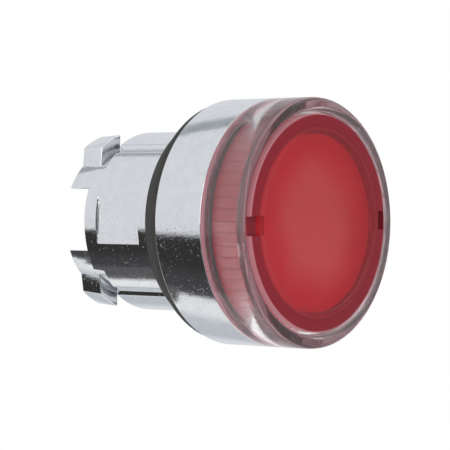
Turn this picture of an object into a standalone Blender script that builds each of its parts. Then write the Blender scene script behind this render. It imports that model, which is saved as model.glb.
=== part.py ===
"""Illuminated push-button head for a panel cut-out of 22.3 mm, as an assembly of separate pieces.

Y is the push axis: the lens faces -Y and the contact blocks clip on at +Y. X is to the right and Z is
up for someone who faces the lens. The origin is the centre of the panel's front face, where the gasket's
rear lip seats. Every size below is in millimetres, and stations are positions along Y.
"""

import math

import bmesh
import bpy
from mathutils import Matrix

MM = 0.001
VISIBLE_SIDES = 60
HIDDEN_SIDES = 24

# Running and fitting gaps
CLEARANCE = 0.3
TRAVEL = 4.3

# Bezel drum, plain mounting tube and bayonet sleeve of the housing
BEZEL_RADIUS = 14.6
BEZEL_BACK = -3.3
BEZEL_FRONT = -10.3
BEZEL_BORE = 13.8
BEZEL_FLOOR = -4.3
TUBE_RADIUS = 10.9
TUBE_BACK = 9.6
TUBE_CROWN_BACK = 10.0
TUBE_EAR_BACK = 11.2
TUBE_EAR_HALF_HEIGHT = 6.1
TUBE_CROWN_HALF_WIDTH = 6.25
TUBE_BORE = 9.4
BUSH_SHOULDER = 7.0
SLEEVE_RADIUS = 8.95
SLEEVE_BORE = 7.9
SLEEVE_MIDDLE = 8.5
SLEEVE_BACK = 16.3
EDGE = 0.25

# Bayonet teeth and the slots between the two halves of the sleeve
TOOTH_RADIUS = 10.9
TOOTH_TAPER = 0.2
TOOTH_FRONT = 13.15
TOOTH_INNER_X = 2.6
TOOTH_OUTER_X = 6.1
SIDE_SLOT_HALF_HEIGHT = 3.75

# Shallow keying grooves and side flats of the mounting tube
GROOVE_ANGLES_DEG = (38.0, 142.0, 218.0, 322.0)
GROOVE_WIDTH = 1.2
GROOVE_DEPTH = 0.35
FLAT_DEPTH = 0.4
FLAT_FRONT = 2.6
FLAT_BACK = 9.3
FLAT_HALF_HEIGHT = 3.0

# Clear guard ring round the lens
GUARD_FRONT = -15.85
GUARD_BACK = -5.6
GUARD_BORE = 13.0
GUARD_SEAT_GAP = 0.15
GUARD_KEY_DEG = 194.0
GUARD_KEY_WIDTH = 1.5
GUARD_KEY_RISE = 0.15

# Panel gasket
GASKET_FLANGE_RADIUS = 14.2
GASKET_FLANGE_BACK = -2.1
GASKET_LIP_ROOT_RADIUS = 13.2
GASKET_LIP_RADIUS = 12.5
GASKET_BORE = 11.2

# Lens cap
LENS_RADIUS = 12.7
LENS_FRONT = -16.1
LENS_DISH_RADIUS = 10.3
LENS_DISH_DEPTH = 0.5
LENS_WALL = 0.8
LENS_INSIDE = -15.0
LENS_SKIRT_BACK = -11.0
LENS_TURN_DEG = 2.7
NOTCH_INNER = 10.45
NOTCH_WIDTH = 2.2
NOTCH_DEPTH = 0.8
LUG_ANGLES_DEG = (90.0, 210.0, 330.0)
LUG_INNER = 11.05
LUG_WIDTH = 2.2
LUG_FRONT = -11.9
LUG_BACK = -11.1
UNLOCK_DEG = 30.0

# Lens carrier, the cup that the lens cap locks on
CARRIER_FLANGE_RADIUS = 12.4
CARRIER_RADIUS = 11.4
CARRIER_GROOVE_RADIUS = 10.8
CARRIER_CUP_RADIUS = 10.3
CARRIER_BACK = -8.8
CARRIER_FLANGE_FRONT = -9.6
CARRIER_CUP_FLOOR = -10.4
CARRIER_GROOVE_BACK = -10.85
CARRIER_GROOVE_FRONT = -12.2
CARRIER_FRONT = -14.2
DISC_RADIUS = 10.0
LEGEND_RADIUS = 10.6
LEGEND_FRONT = -14.92
LEGEND_BACK = -14.22

# Plunger sleeve, guide bush and what is clipped to them
STEM_RADIUS = 6.0
STEM_BORE = 5.0
STEM_GROOVE_RADIUS = 5.6
STEM_FRONT = -11.2
STEM_BACK = 14.9
STEM_FLANGE_RADIUS = 9.0
STEM_FLANGE_FRONT = -8.5
STEM_FLANGE_BACK = -7.7
BUSH_BORE = 6.3
BUSH_NOSE_RADIUS = 7.6
BUSH_FLANGE_RADIUS = 9.1
BUSH_FLANGE_FRONT = 5.6
BUSH_BACK = 11.2
KEY_WIDTH = 1.2
KEY_INNER = 5.75
KEYWAY_WIDTH = 1.8
KEYWAY_INNER = 5.45
PUSHER_FRONT = 12.3
PUSHER_BACK = 13.8
PUSHER_PAD_BACK = 15.2
PUSHER_PAD_HALF_WIDTH = 3.2
PUSHER_PAD_INNER = 7.05

# Return spring
SPRING_RADIUS = 7.75
SPRING_WIRE_RADIUS = 0.4
SPRING_FRONT = -6.55
SPRING_BACK = 4.45
SPRING_TURNS = 5.5
SPRING_POINTS_PER_TURN = 12

FAR = 40.0  # longer than any piece, for the cutters

MATERIALS = {
    "chrome": ((0.80, 0.81, 0.82), 0.12, 1.0),
    "spring_steel": ((0.55, 0.56, 0.57), 0.30, 1.0),
    "clear_plastic": ((0.85, 0.86, 0.87), 0.08, 0.0),
    "red_lens": ((0.55, 0.03, 0.04), 0.15, 0.0),
    "dark_rubber": ((0.06, 0.06, 0.055), 0.60, 0.0),
    "white_plastic": ((0.80, 0.80, 0.78), 0.40, 0.0),
    "grey_plastic": ((0.30, 0.31, 0.32), 0.45, 0.0),
    "opal_plastic": ((0.88, 0.86, 0.82), 0.35, 0.0),
}


def clear_scene():
    for obj in list(bpy.data.objects):
        bpy.data.objects.remove(obj, do_unlink=True)


def new_collection(name):
    collection = bpy.data.collections.new(name)
    bpy.context.scene.collection.children.link(collection)
    return collection


clear_scene()
PARTS = new_collection("push_button_head")
CUTTERS = new_collection("cutters")


def new_material(name):
    colour, roughness, metallic = MATERIALS[name]
    material = bpy.data.materials.new(name)
    material.use_nodes = True
    shader = material.node_tree.nodes["Principled BSDF"]
    shader.inputs["Base Color"].default_value = (*colour, 1.0)
    shader.inputs["Roughness"].default_value = roughness
    shader.inputs["Metallic"].default_value = metallic
    return material


SHADES = {name: new_material(name) for name in MATERIALS}


# Shapes


def turned(name, outline, sides):
    """A solid turned about Y from (radius, station) points, which run from back to front on the outside.

    An outline that starts and ends on the axis gives a solid piece, and any other one gives a ring.
    """
    points = [(radius * MM, 0.0, station * MM) for radius, station in outline]
    edges = [(i, i + 1) for i in range(len(points) - 1)]
    if outline[0][0] > 0.0:
        edges.append((len(points) - 1, 0))
    mesh = bpy.data.meshes.new(name)
    mesh.from_pydata(points, edges, [])
    obj = bpy.data.objects.new(name, mesh)
    obj.rotation_euler.x = -math.pi / 2
    screw = obj.modifiers.new("turn", "SCREW")
    screw.axis = "Z"
    screw.steps = sides
    screw.render_steps = sides
    screw.use_merge_vertices = True
    screw.merge_threshold = 0.00001
    return obj


def ring_outline(outer, inner, front, back, chamfer=0.0):
    """The section of a plain ring, with its two outer corners chamfered where a chamfer is given."""
    if chamfer == 0.0:
        return [(outer, back), (outer, front), (inner, front), (inner, back)]
    return [
        (outer - chamfer, back),
        (outer, back - chamfer),
        (outer, front + chamfer),
        (outer - chamfer, front),
        (inner, front),
        (inner, back),
    ]


def disc_outline(radius, front, back):
    return [(0.0, back), (radius, back), (radius, front), (0.0, front)]


def block(name, low, high, turn_deg=0.0):
    """A box between two corners (x, y, z), then turned about Y: positive lifts the +X side."""
    size = [(b - a) * MM for a, b in zip(low, high)]
    middle = [(a + b) / 2 * MM for a, b in zip(low, high)]
    bm = bmesh.new()
    bmesh.ops.create_cube(bm, size=1.0)
    bmesh.ops.scale(bm, vec=size, verts=bm.verts)
    bmesh.ops.translate(bm, vec=middle, verts=bm.verts)
    bmesh.ops.rotate(bm, matrix=Matrix.Rotation(-math.radians(turn_deg), 3, "Y"), verts=bm.verts)
    mesh = bpy.data.meshes.new(name)
    bm.to_mesh(mesh)
    bm.free()
    return bpy.data.objects.new(name, mesh)


def boolean(target, tool, operation):
    """Uses tool on target, and keeps it as a wire guide beside the parts."""
    if tool.name not in CUTTERS.objects:
        CUTTERS.objects.link(tool)
        tool.hide_render = True
        tool.display_type = "WIRE"
    modifier = target.modifiers.new(tool.name, "BOOLEAN")
    modifier.operation = operation
    modifier.object = tool
    return target


def add_part(obj, material):
    PARTS.objects.link(obj)
    obj.data.materials.append(SHADES[material])
    return obj


def add_ring(name, outer, inner, front, back, material, chamfer=0.0):
    outline = ring_outline(outer, inner, front, back, chamfer)
    return add_part(turned(name, outline, HIDDEN_SIDES), material)


def add_split_ring(name, outer, inner, front, back, gap):
    """A flat spring-steel snap ring, open at the bottom."""
    ring = add_ring(name, outer, inner, front, back, "spring_steel")
    low = (-gap / 2, front - 1.0, -outer - 1.0)
    high = (gap / 2, back + 1.0, -inner + 1.0)
    return boolean(ring, block(name + "_gap", low, high), "DIFFERENCE")


# Housing


def bezel_and_tube_outline():
    groove_front, groove_back, groove_radius = 3.95, 4.75, 9.8
    return [
        (TUBE_RADIUS - EDGE / 2, TUBE_EAR_BACK),
        (TUBE_RADIUS, TUBE_EAR_BACK - EDGE / 2),
        (TUBE_RADIUS, BEZEL_BACK),
        (BEZEL_RADIUS - EDGE, BEZEL_BACK),
        (BEZEL_RADIUS, BEZEL_BACK - EDGE),
        (BEZEL_RADIUS, BEZEL_FRONT + EDGE),
        (BEZEL_RADIUS - EDGE, BEZEL_FRONT),
        (BEZEL_BORE, BEZEL_FRONT),
        (BEZEL_BORE, BEZEL_FLOOR),
        (TUBE_BORE, BEZEL_FLOOR),
        (TUBE_BORE, groove_front),
        (groove_radius, groove_front),
        (groove_radius, groove_back),
        (TUBE_BORE, groove_back),
        (TUBE_BORE, BUSH_SHOULDER),
        (SLEEVE_MIDDLE, BUSH_SHOULDER),
        (SLEEVE_MIDDLE, TUBE_EAR_BACK),
    ]


def trim_tube_end(housing):
    """The tube's rear rim is highest at the two side ears and lowest between an ear and a crown."""
    ledge = 0.1
    for up in (-1, 1):
        low, high = sorted((up * TUBE_EAR_HALF_HEIGHT, up * FAR))
        crown = block(f"crown_trim_{up}", (-FAR, TUBE_CROWN_BACK, low), (FAR, FAR, high))
        boolean(housing, crown, "DIFFERENCE")
        low, high = sorted((up * (TUBE_EAR_HALF_HEIGHT + ledge), up * FAR))
        for side in (-1, 1):
            near, far = sorted((side * TUBE_CROWN_HALF_WIDTH, side * FAR))
            corner = block(f"corner_trim_{up}_{side}", (near, TUBE_BACK, low), (far, FAR, high))
            boolean(housing, corner, "DIFFERENCE")


def make_sleeve():
    """The bayonet sleeve, in an upper and a lower half behind the ears, with two teeth on each half."""
    outline = ring_outline(SLEEVE_RADIUS, SLEEVE_BORE, BUSH_SHOULDER + 0.2, SLEEVE_BACK, EDGE / 2)
    sleeve = turned("bayonet_sleeve", outline, VISIBLE_SIDES)
    teeth_back = SLEEVE_BACK - 0.05
    outline = [
        (TOOTH_RADIUS - TOOTH_TAPER - EDGE, teeth_back),
        (TOOTH_RADIUS - TOOTH_TAPER, teeth_back - EDGE),
        (TOOTH_RADIUS, TOOTH_FRONT + EDGE),
        (TOOTH_RADIUS - EDGE, TOOTH_FRONT),
        (SLEEVE_MIDDLE, TOOTH_FRONT),
        (SLEEVE_MIDDLE, teeth_back),
    ]
    teeth = turned("bayonet_teeth", outline, VISIBLE_SIDES)
    low = (-TOOTH_INNER_X, 0.0, -FAR)
    boolean(teeth, block("between_teeth", low, (TOOTH_INNER_X, FAR, FAR)), "DIFFERENCE")
    low = (-TOOTH_OUTER_X, 0.0, -FAR)
    boolean(teeth, block("teeth_kept", low, (TOOTH_OUTER_X, FAR, FAR)), "INTERSECT")
    boolean(sleeve, teeth, "UNION")
    for side in (-1, 1):
        near, far = sorted((side * SLEEVE_BORE / 2, side * FAR))
        low = (near, TUBE_EAR_BACK - 0.05, -SIDE_SLOT_HALF_HEIGHT)
        high = (far, FAR, SIDE_SLOT_HALF_HEIGHT)
        boolean(sleeve, block(f"side_slot_{side}", low, high), "DIFFERENCE")
    return sleeve


def cut_grooves_and_flats(housing):
    for angle in GROOVE_ANGLES_DEG:
        low = (TUBE_RADIUS - GROOVE_DEPTH, BEZEL_BACK + 0.1, -GROOVE_WIDTH / 2)
        high = (TUBE_RADIUS + 1.0, TUBE_EAR_BACK + 0.5, GROOVE_WIDTH / 2)
        groove = block(f"key_groove_{angle:.0f}", low, high, 90.0 - angle)
        boolean(housing, groove, "DIFFERENCE")
    for side in (-1, 1):
        near, far = sorted((side * (TUBE_RADIUS - FLAT_DEPTH), side * (TUBE_RADIUS + 1.0)))
        low = (near, FLAT_FRONT, -FLAT_HALF_HEIGHT)
        high = (far, FLAT_BACK, FLAT_HALF_HEIGHT)
        boolean(housing, block(f"side_flat_{side}", low, high), "DIFFERENCE")


def make_housing():
    outline = bezel_and_tube_outline()
    housing = add_part(turned("housing", outline, VISIBLE_SIDES), "chrome")
    trim_tube_end(housing)
    cut_grooves_and_flats(housing)
    boolean(housing, make_sleeve(), "UNION")


# Fixed pieces round the housing


def make_guard_ring():
    shoulder = BEZEL_FRONT - GUARD_SEAT_GAP
    outline = [
        (BEZEL_BORE - CLEARANCE, GUARD_BACK),
        (BEZEL_BORE - CLEARANCE, shoulder),
        (BEZEL_RADIUS, shoulder),
        (BEZEL_RADIUS, GUARD_FRONT + EDGE),
        (BEZEL_RADIUS - EDGE, GUARD_FRONT),
        (GUARD_BORE + EDGE, GUARD_FRONT),
        (GUARD_BORE, GUARD_FRONT + EDGE),
        (GUARD_BORE, GUARD_BACK),
    ]
    ring = add_part(turned("guard_ring", outline, VISIBLE_SIDES), "clear_plastic")
    low = (GUARD_BORE - GUARD_KEY_RISE, GUARD_FRONT + 1.0, -GUARD_KEY_WIDTH / 2)
    high = (GUARD_BORE + 0.4, GUARD_BACK - 0.5, GUARD_KEY_WIDTH / 2)
    boolean(ring, block("guard_key", low, high, GUARD_KEY_DEG), "UNION")


def make_seals():
    seal_outer = BEZEL_BORE - CLEARANCE
    seal_back = BEZEL_FLOOR - 0.2
    add_ring("guard_ring_seal", seal_outer, 12.8, GUARD_BACK + 0.2, seal_back, "dark_rubber")
    gasket_front = BEZEL_BACK + 0.15
    outline = [
        (GASKET_LIP_RADIUS, 0.0),
        (GASKET_LIP_ROOT_RADIUS, GASKET_FLANGE_BACK),
        (GASKET_FLANGE_RADIUS - 0.2, GASKET_FLANGE_BACK),
        (GASKET_FLANGE_RADIUS, GASKET_FLANGE_BACK - 0.2),
        (GASKET_FLANGE_RADIUS, gasket_front),
        (GASKET_BORE, gasket_front),
        (GASKET_BORE, 0.0),
    ]
    add_part(turned("panel_gasket", outline, VISIBLE_SIDES), "dark_rubber")


def make_guide_bush():
    """The bush that the plunger slides in, with two inner keys that stop the plunger from turning."""
    outline = [
        (BUSH_NOSE_RADIUS, BUSH_BACK),
        (BUSH_NOSE_RADIUS, BUSH_SHOULDER - 0.2),
        (BUSH_FLANGE_RADIUS, BUSH_SHOULDER - 0.2),
        (BUSH_FLANGE_RADIUS, BUSH_FLANGE_FRONT),
        (BUSH_BORE, BUSH_FLANGE_FRONT),
        (BUSH_BORE, BUSH_BACK),
    ]
    bush = add_part(turned("guide_bush", outline, HIDDEN_SIDES), "grey_plastic")
    for angle in (90.0, 270.0):
        low = (KEY_INNER, BUSH_SHOULDER, -KEY_WIDTH / 2)
        high = (BUSH_BORE + 0.5, BUSH_BACK - 0.2, KEY_WIDTH / 2)
        boolean(bush, block(f"bush_key_{angle:.0f}", low, high, angle), "UNION")


def make_fixed_rings():
    add_ring("spring_seat_washer", 9.0, 6.5, 5.0, 5.4, "spring_steel")
    add_split_ring("bush_snap_ring", 9.6, 8.7, 4.1, 4.6, 3.0)
    add_ring("return_buffer", 7.5, 6.4, 11.45, 12.05, "dark_rubber", 0.15)


# Lens assembly


def make_lens_cap():
    rim = 0.3
    outline = [
        (0.0, LENS_INSIDE),
        (LENS_RADIUS - LENS_WALL, LENS_INSIDE),
        (LENS_RADIUS - LENS_WALL, LENS_SKIRT_BACK),
        (LENS_RADIUS, LENS_SKIRT_BACK),
        (LENS_RADIUS, LENS_FRONT + rim),
        (LENS_RADIUS - rim, LENS_FRONT),
        (LENS_DISH_RADIUS + 0.4, LENS_FRONT + 0.1),
        (LENS_DISH_RADIUS - 1.0, LENS_FRONT + LENS_DISH_DEPTH * 0.75),
        (LENS_DISH_RADIUS - 4.0, LENS_FRONT + LENS_DISH_DEPTH),
        (0.0, LENS_FRONT + LENS_DISH_DEPTH),
    ]
    lens = add_part(turned("lens_cap", outline, VISIBLE_SIDES), "red_lens")
    for half_turn in (0.0, 180.0):
        low = (NOTCH_INNER, LENS_FRONT - 1.0, -NOTCH_WIDTH / 2)
        high = (LENS_RADIUS + 1.0, LENS_FRONT + NOTCH_DEPTH, NOTCH_WIDTH / 2)
        notch = block(f"tool_notch_{half_turn:.0f}", low, high, LENS_TURN_DEG + half_turn)
        boolean(lens, notch, "DIFFERENCE")
    for angle in LUG_ANGLES_DEG:
        low = (LUG_INNER, LUG_FRONT, -LUG_WIDTH / 2)
        high = (LENS_RADIUS - LENS_WALL / 2, LUG_BACK, LUG_WIDTH / 2)
        boolean(lens, block(f"lens_lug_{angle:.0f}", low, high, angle), "UNION")


def make_lens_carrier():
    outline = [
        (CARRIER_FLANGE_RADIUS, CARRIER_BACK),
        (CARRIER_FLANGE_RADIUS, CARRIER_FLANGE_FRONT),
        (CARRIER_RADIUS, CARRIER_FLANGE_FRONT),
        (CARRIER_RADIUS, CARRIER_GROOVE_BACK),
        (CARRIER_GROOVE_RADIUS, CARRIER_GROOVE_BACK),
        (CARRIER_GROOVE_RADIUS, CARRIER_GROOVE_FRONT),
        (CARRIER_RADIUS, CARRIER_GROOVE_FRONT),
        (CARRIER_RADIUS, CARRIER_FRONT),
        (CARRIER_CUP_RADIUS, CARRIER_FRONT),
        (CARRIER_CUP_RADIUS, CARRIER_CUP_FLOOR),
        (STEM_RADIUS + CLEARANCE, CARRIER_CUP_FLOOR),
        (STEM_RADIUS + CLEARANCE, CARRIER_BACK),
    ]
    carrier = add_part(turned("lens_carrier", outline, HIDDEN_SIDES), "white_plastic")
    for angle in LUG_ANGLES_DEG:
        low = (CARRIER_GROOVE_RADIUS + 0.05, CARRIER_FRONT - 1.0, -LUG_WIDTH / 2 - CLEARANCE)
        high = (CARRIER_RADIUS + 1.0, CARRIER_GROOVE_FRONT + 0.1, LUG_WIDTH / 2 + CLEARANCE)
        slot = block(f"lug_entry_{angle:.0f}", low, high, angle + UNLOCK_DEG)
        boolean(carrier, slot, "DIFFERENCE")


def make_lens_o_ring():
    """A round cord ring between the lens cap's inner face and the carrier's rim."""
    middle_radius, cord_radius, station, cord_sides = 10.95, 0.28, -14.6, 8
    outline = []
    for i in range(cord_sides):
        angle = -2 * math.pi * i / cord_sides
        radius = middle_radius + cord_radius * math.cos(angle)
        outline.append((radius, station + cord_radius * math.sin(angle)))
    add_part(turned("lens_o_ring", outline, HIDDEN_SIDES), "dark_rubber")


def make_discs():
    legend = disc_outline(LEGEND_RADIUS, LEGEND_FRONT, LEGEND_BACK)
    add_part(turned("legend_disc", legend, HIDDEN_SIDES), "opal_plastic")
    diffuser = disc_outline(DISC_RADIUS, -13.4, -12.2)
    add_part(turned("diffuser_disc", diffuser, HIDDEN_SIDES), "clear_plastic")


def make_wiper_seal():
    """The lip ring behind the lens skirt, which wipes the bore of the guard ring."""
    lip, body, bore = 12.5, 12.2, 11.6
    front, middle, back = -10.75, -10.3, -9.85
    outline = [(body, back), (lip, middle), (body, front), (bore, front), (bore, back)]
    add_part(turned("plunger_wiper_seal", outline, VISIBLE_SIDES), "dark_rubber")


# Plunger


def stem_outline():
    clip_front, clip_back = 14.05, 14.55
    lock_front, lock_back = -11.0, -10.5
    return [
        (STEM_RADIUS, STEM_BACK),
        (STEM_RADIUS, clip_back),
        (STEM_GROOVE_RADIUS, clip_back),
        (STEM_GROOVE_RADIUS, clip_front),
        (STEM_RADIUS, clip_front),
        (STEM_RADIUS, STEM_FLANGE_BACK),
        (STEM_FLANGE_RADIUS, STEM_FLANGE_BACK),
        (STEM_FLANGE_RADIUS, STEM_FLANGE_FRONT),
        (STEM_RADIUS, STEM_FLANGE_FRONT),
        (STEM_RADIUS, lock_back),
        (STEM_GROOVE_RADIUS, lock_back),
        (STEM_GROOVE_RADIUS, lock_front),
        (STEM_RADIUS, lock_front),
        (STEM_RADIUS, STEM_FRONT),
        (STEM_BORE, STEM_FRONT),
        (STEM_BORE, STEM_BACK),
    ]


def make_plunger_sleeve():
    sleeve = add_part(turned("plunger_sleeve", stem_outline(), HIDDEN_SIDES), "white_plastic")
    for angle in (90.0, 270.0):
        low = (KEYWAY_INNER, BUSH_SHOULDER - TRAVEL - 0.7, -KEYWAY_WIDTH / 2)
        high = (STEM_RADIUS + 1.0, BUSH_BACK + 0.7, KEYWAY_WIDTH / 2)
        boolean(sleeve, block(f"keyway_{angle:.0f}", low, high, angle), "DIFFERENCE")


def make_plunger_fittings():
    add_split_ring("carrier_lock_ring", 7.3, 5.75, -10.95, -10.6, 2.4)
    add_ring("spring_front_washer", 9.0, 6.3, -7.5, -7.1, "spring_steel")
    add_split_ring("pusher_clip", 6.8, 5.75, 14.1, 14.5, 2.4)
    add_split_ring("light_guide_clip", 4.85, 4.1, 1.9, 2.4, 1.6)


def make_light_guide():
    """A clear rod that carries the lamp's light to the diffuser, with a domed rear end."""
    radius, front, back, dome_points = 4.6, STEM_FRONT, 1.5, 5
    dome_length = 1.6
    outline = []
    for i in range(dome_points):
        angle = math.pi / 2 * i / (dome_points - 1)
        station = back - dome_length * (1.0 - math.cos(angle))
        outline.append((radius * math.sin(angle), station))
    outline += [(radius, front), (0.0, front)]
    add_part(turned("light_guide", outline, HIDDEN_SIDES), "clear_plastic")


def make_pusher_ring():
    """The ring that presses the contact blocks, with one pad at the top and one at the bottom."""
    outer = BUSH_NOSE_RADIUS
    pusher = add_ring("pusher_ring", outer, BUSH_BORE, PUSHER_FRONT, PUSHER_BACK, "grey_plastic")
    outline = ring_outline(outer - 0.05, PUSHER_PAD_INNER, PUSHER_FRONT + 0.5, PUSHER_PAD_BACK)
    pads = turned("pusher_pads", outline, HIDDEN_SIDES)
    low = (-PUSHER_PAD_HALF_WIDTH, 0.0, -FAR)
    high = (PUSHER_PAD_HALF_WIDTH, FAR, FAR)
    boolean(pads, block("pads_kept", low, high), "INTERSECT")
    boolean(pusher, pads, "UNION")


def make_return_spring():
    count = int(SPRING_TURNS * SPRING_POINTS_PER_TURN) + 1
    curve = bpy.data.curves.new("return_spring", "CURVE")
    curve.dimensions = "3D"
    curve.bevel_depth = SPRING_WIRE_RADIUS * MM
    curve.bevel_resolution = 2
    curve.use_fill_caps = True
    spline = curve.splines.new("POLY")
    spline.points.add(count - 1)
    for i, point in enumerate(spline.points):
        share = i / (count - 1)
        angle = 2 * math.pi * SPRING_TURNS * share
        x = SPRING_RADIUS * math.cos(angle)
        z = SPRING_RADIUS * math.sin(angle)
        y = SPRING_FRONT + (SPRING_BACK - SPRING_FRONT) * share
        point.co = (x * MM, y * MM, z * MM, 1.0)
    add_part(bpy.data.objects.new("return_spring", curve), "spring_steel")


def shade_round_pieces():
    for obj in PARTS.objects:
        if obj.type == "MESH":
            obj.data.shade_smooth()


make_housing()
make_guard_ring()
make_seals()
make_guide_bush()
make_fixed_rings()
make_lens_cap()
make_lens_carrier()
make_lens_o_ring()
make_discs()
make_wiper_seal()
make_plunger_sleeve()
make_plunger_fittings()
make_light_guide()
make_pusher_ring()
make_return_spring()
shade_round_pieces()
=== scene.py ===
"""The looks of the illuminated push button head: fine meshes, materials, studio and camera."""

import math

import bmesh
import bpy
from mathutils import Matrix, Vector


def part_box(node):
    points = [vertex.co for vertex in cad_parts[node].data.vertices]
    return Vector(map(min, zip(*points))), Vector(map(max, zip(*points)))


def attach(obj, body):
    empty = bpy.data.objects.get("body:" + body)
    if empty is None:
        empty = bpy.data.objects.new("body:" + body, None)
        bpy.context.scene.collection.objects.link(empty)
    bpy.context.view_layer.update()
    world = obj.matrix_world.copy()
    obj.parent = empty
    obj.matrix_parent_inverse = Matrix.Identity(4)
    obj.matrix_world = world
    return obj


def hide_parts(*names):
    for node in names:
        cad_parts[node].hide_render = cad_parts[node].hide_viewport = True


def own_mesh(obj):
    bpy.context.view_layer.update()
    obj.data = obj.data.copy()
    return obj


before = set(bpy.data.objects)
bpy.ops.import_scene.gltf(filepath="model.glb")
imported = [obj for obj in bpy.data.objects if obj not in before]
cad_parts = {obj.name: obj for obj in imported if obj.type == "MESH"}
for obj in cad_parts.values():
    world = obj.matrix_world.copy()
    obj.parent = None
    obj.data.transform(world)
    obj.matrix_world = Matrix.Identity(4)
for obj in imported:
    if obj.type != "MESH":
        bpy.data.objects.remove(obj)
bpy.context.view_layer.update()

MM = 0.001


def station(node, end):
    """A CAD node's front (0) or back (1) station along Y, in millimetres."""
    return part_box(node)[end].y / MM


def radius(node):
    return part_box(node)[1].x / MM


# Places and sizes in millimetres, taken from the CAD where a node's box states them

CLEARANCE = 0.02
BEZEL_RADIUS = radius("housing")
BEZEL_BACK = -3.3
BEZEL_FRONT = -10.3
BEZEL_FLOOR = -4.3
BEZEL_BORE = 13.8
TUBE_RADIUS = 10.9
TUBE_BACK = 9.6
CROWN_BACK = 10.0
EAR_BACK = 11.2
EAR_HALF_HEIGHT = 6.1
CROWN_HALF_WIDTH = 6.25
TUBE_BORE = 9.4
BUSH_SHOULDER = 7.0
SLEEVE_RADIUS = 8.95
SLEEVE_BORE = 7.9
SLEEVE_MIDDLE = 8.5
SLEEVE_BACK = station("housing", 1)
SLOT_HALF_HEIGHT = 3.75
TOOTH_RADIUS = 10.9
TOOTH_TAPER = 0.2
TOOTH_FRONT = 13.15
TOOTH_X = (2.6, 6.1)
UPPER_TOOTH_LEAN = 0.2
LOWER_TOOTH_LEAN = 0.5
GROOVES_DEG = (52.0, 128.0, 232.0, 308.0)
GROOVE_WIDTH = 1.2
GROOVE_DEPTH = 0.35
GROOVE_WALL = 0.5
FLAT_DEPTH = 0.4
FLAT_STATIONS = (2.6, 9.3)
FLAT_HALF_HEIGHT = 3.0
FLAT_END = 0.1
TUBE_SKIN = 0.5

GUARD_BORE = 13.0
GUARD_FRONT = station("guard_ring", 0)
GUARD_BACK = station("guard_ring", 1)
GUARD_KEY_DEG = 194.0
GUARD_KEY_WIDTH = 1.5
GUARD_EDGE = 0.5
GASKET_BORE = 11.0
GASKET_RADIUS = 14.2
GASKET_LIP = 12.5

LENS_RADIUS = radius("lens_cap")
LENS_FRONT = station("lens_cap", 0)
LENS_BACK = station("lens_cap", 1)
LENS_INSIDE = -15.0
LENS_WALL = 0.8
LENS_DISH = 10.3
LENS_DISH_DEPTH = 0.5
LENS_TURN_DEG = 2.7
NOTCHES = ((0.0, 11.4, 12.4), (180.0, 10.2, 13.7))
NOTCH_WIDTH = 2.2
NOTCH_DEPTH = 0.8
RIB_PITCH_DEG = 6.0
RIB_GROOVE_DEG = 0.7
RIB_GROOVE_DEPTH = 0.14
RIBS_FROM = LENS_FRONT + 0.9
DISH_STEP = 0.12
DISH_STEPS = 16


# Meshes

SHARP_DEG = 32.0
SHAPED_STEPS = 720
OUTER_STEPS = 240
INNER_STEPS = 128


def finish_mesh(bm, name, sharp_deg=SHARP_DEG):
    bmesh.ops.recalc_face_normals(bm, faces=bm.faces)
    mesh = bpy.data.meshes.new(name)
    bm.to_mesh(mesh)
    bm.free()
    mesh.shade_smooth()
    mesh.set_sharp_from_angle(angle=math.radians(sharp_deg))
    obj = bpy.data.objects.new(name, mesh)
    bpy.context.scene.collection.objects.link(obj)
    return obj


def rounded(corners, closed=True, steps=4):
    """Corners (radius, station, rounding) become points, with an arc at each corner that has a rounding."""
    points = []
    count = len(corners)
    for i, (r, y, rounding) in enumerate(corners):
        here = Vector((r, y))
        if rounding == 0 or (not closed and i in (0, count - 1)):
            points.append(here)
            continue
        before = Vector(corners[i - 1][:2]) - here
        after = Vector(corners[(i + 1) % count][:2]) - here
        half = before.angle(after) / 2
        reach = min(rounding / math.tan(half), 0.49 * before.length, 0.49 * after.length)
        before.normalize()
        after.normalize()
        centre = here + (before + after).normalized() * (reach / math.cos(half))
        first = here + before * reach - centre
        last = here + after * reach - centre
        start = math.atan2(first.y, first.x)
        turn = math.atan2(last.y, last.x) - start
        turn = (turn + math.pi) % (2 * math.pi) - math.pi
        for k in range(steps + 1):
            angle = start + turn * k / steps
            points.append(centre + first.length * Vector((math.cos(angle), math.sin(angle))))
    return points


def lathe(name, points, steps, closed=True, shape=None):
    """Turns (radius, station) points about Y. shape(angle, radius, station) may move each point."""
    bm = bmesh.new()
    rows = []
    for point in points:
        r, y = point[0], point[1]
        if r < 1e-6:
            rows.append([bm.verts.new((0, y * MM, 0))] * steps)
            continue
        row = []
        for i in range(steps):
            angle = 2 * math.pi * i / steps
            rr, yy = shape(angle, r, y) if shape else (r, y)
            across, upward = rr * math.cos(angle), rr * math.sin(angle)
            row.append(bm.verts.new((across * MM, yy * MM, upward * MM)))
        rows.append(row)
    pairs = list(zip(rows, rows[1:]))
    if closed:
        pairs.append((rows[-1], rows[0]))
    for row, following in pairs:
        for i in range(steps):
            j = (i + 1) % steps
            corners = (row[i], row[j], following[j], following[i])
            bm.faces.new(list(dict.fromkeys(corners)))
    return finish_mesh(bm, name)


def swept_block(name, section, steps, edge):
    """A curved block: section(share) gives its four corners along the sweep. Its edges are rounded."""
    bm = bmesh.new()
    rows = [[bm.verts.new(Vector(c) * MM) for c in section(i / steps)] for i in range(steps + 1)]
    for row, following in zip(rows, rows[1:]):
        for k in range(4):
            m = (k + 1) % 4
            bm.faces.new((row[k], row[m], following[m], following[k]))
    bm.faces.new(rows[0])
    bm.faces.new(rows[-1])
    obj = finish_mesh(bm, name)
    bevel = obj.modifiers.new("edges", "BEVEL")
    bevel.width = edge * MM
    bevel.segments = 3
    bevel.limit_method = "ANGLE"
    bevel.angle_limit = math.radians(40)
    return settle(obj)


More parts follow.
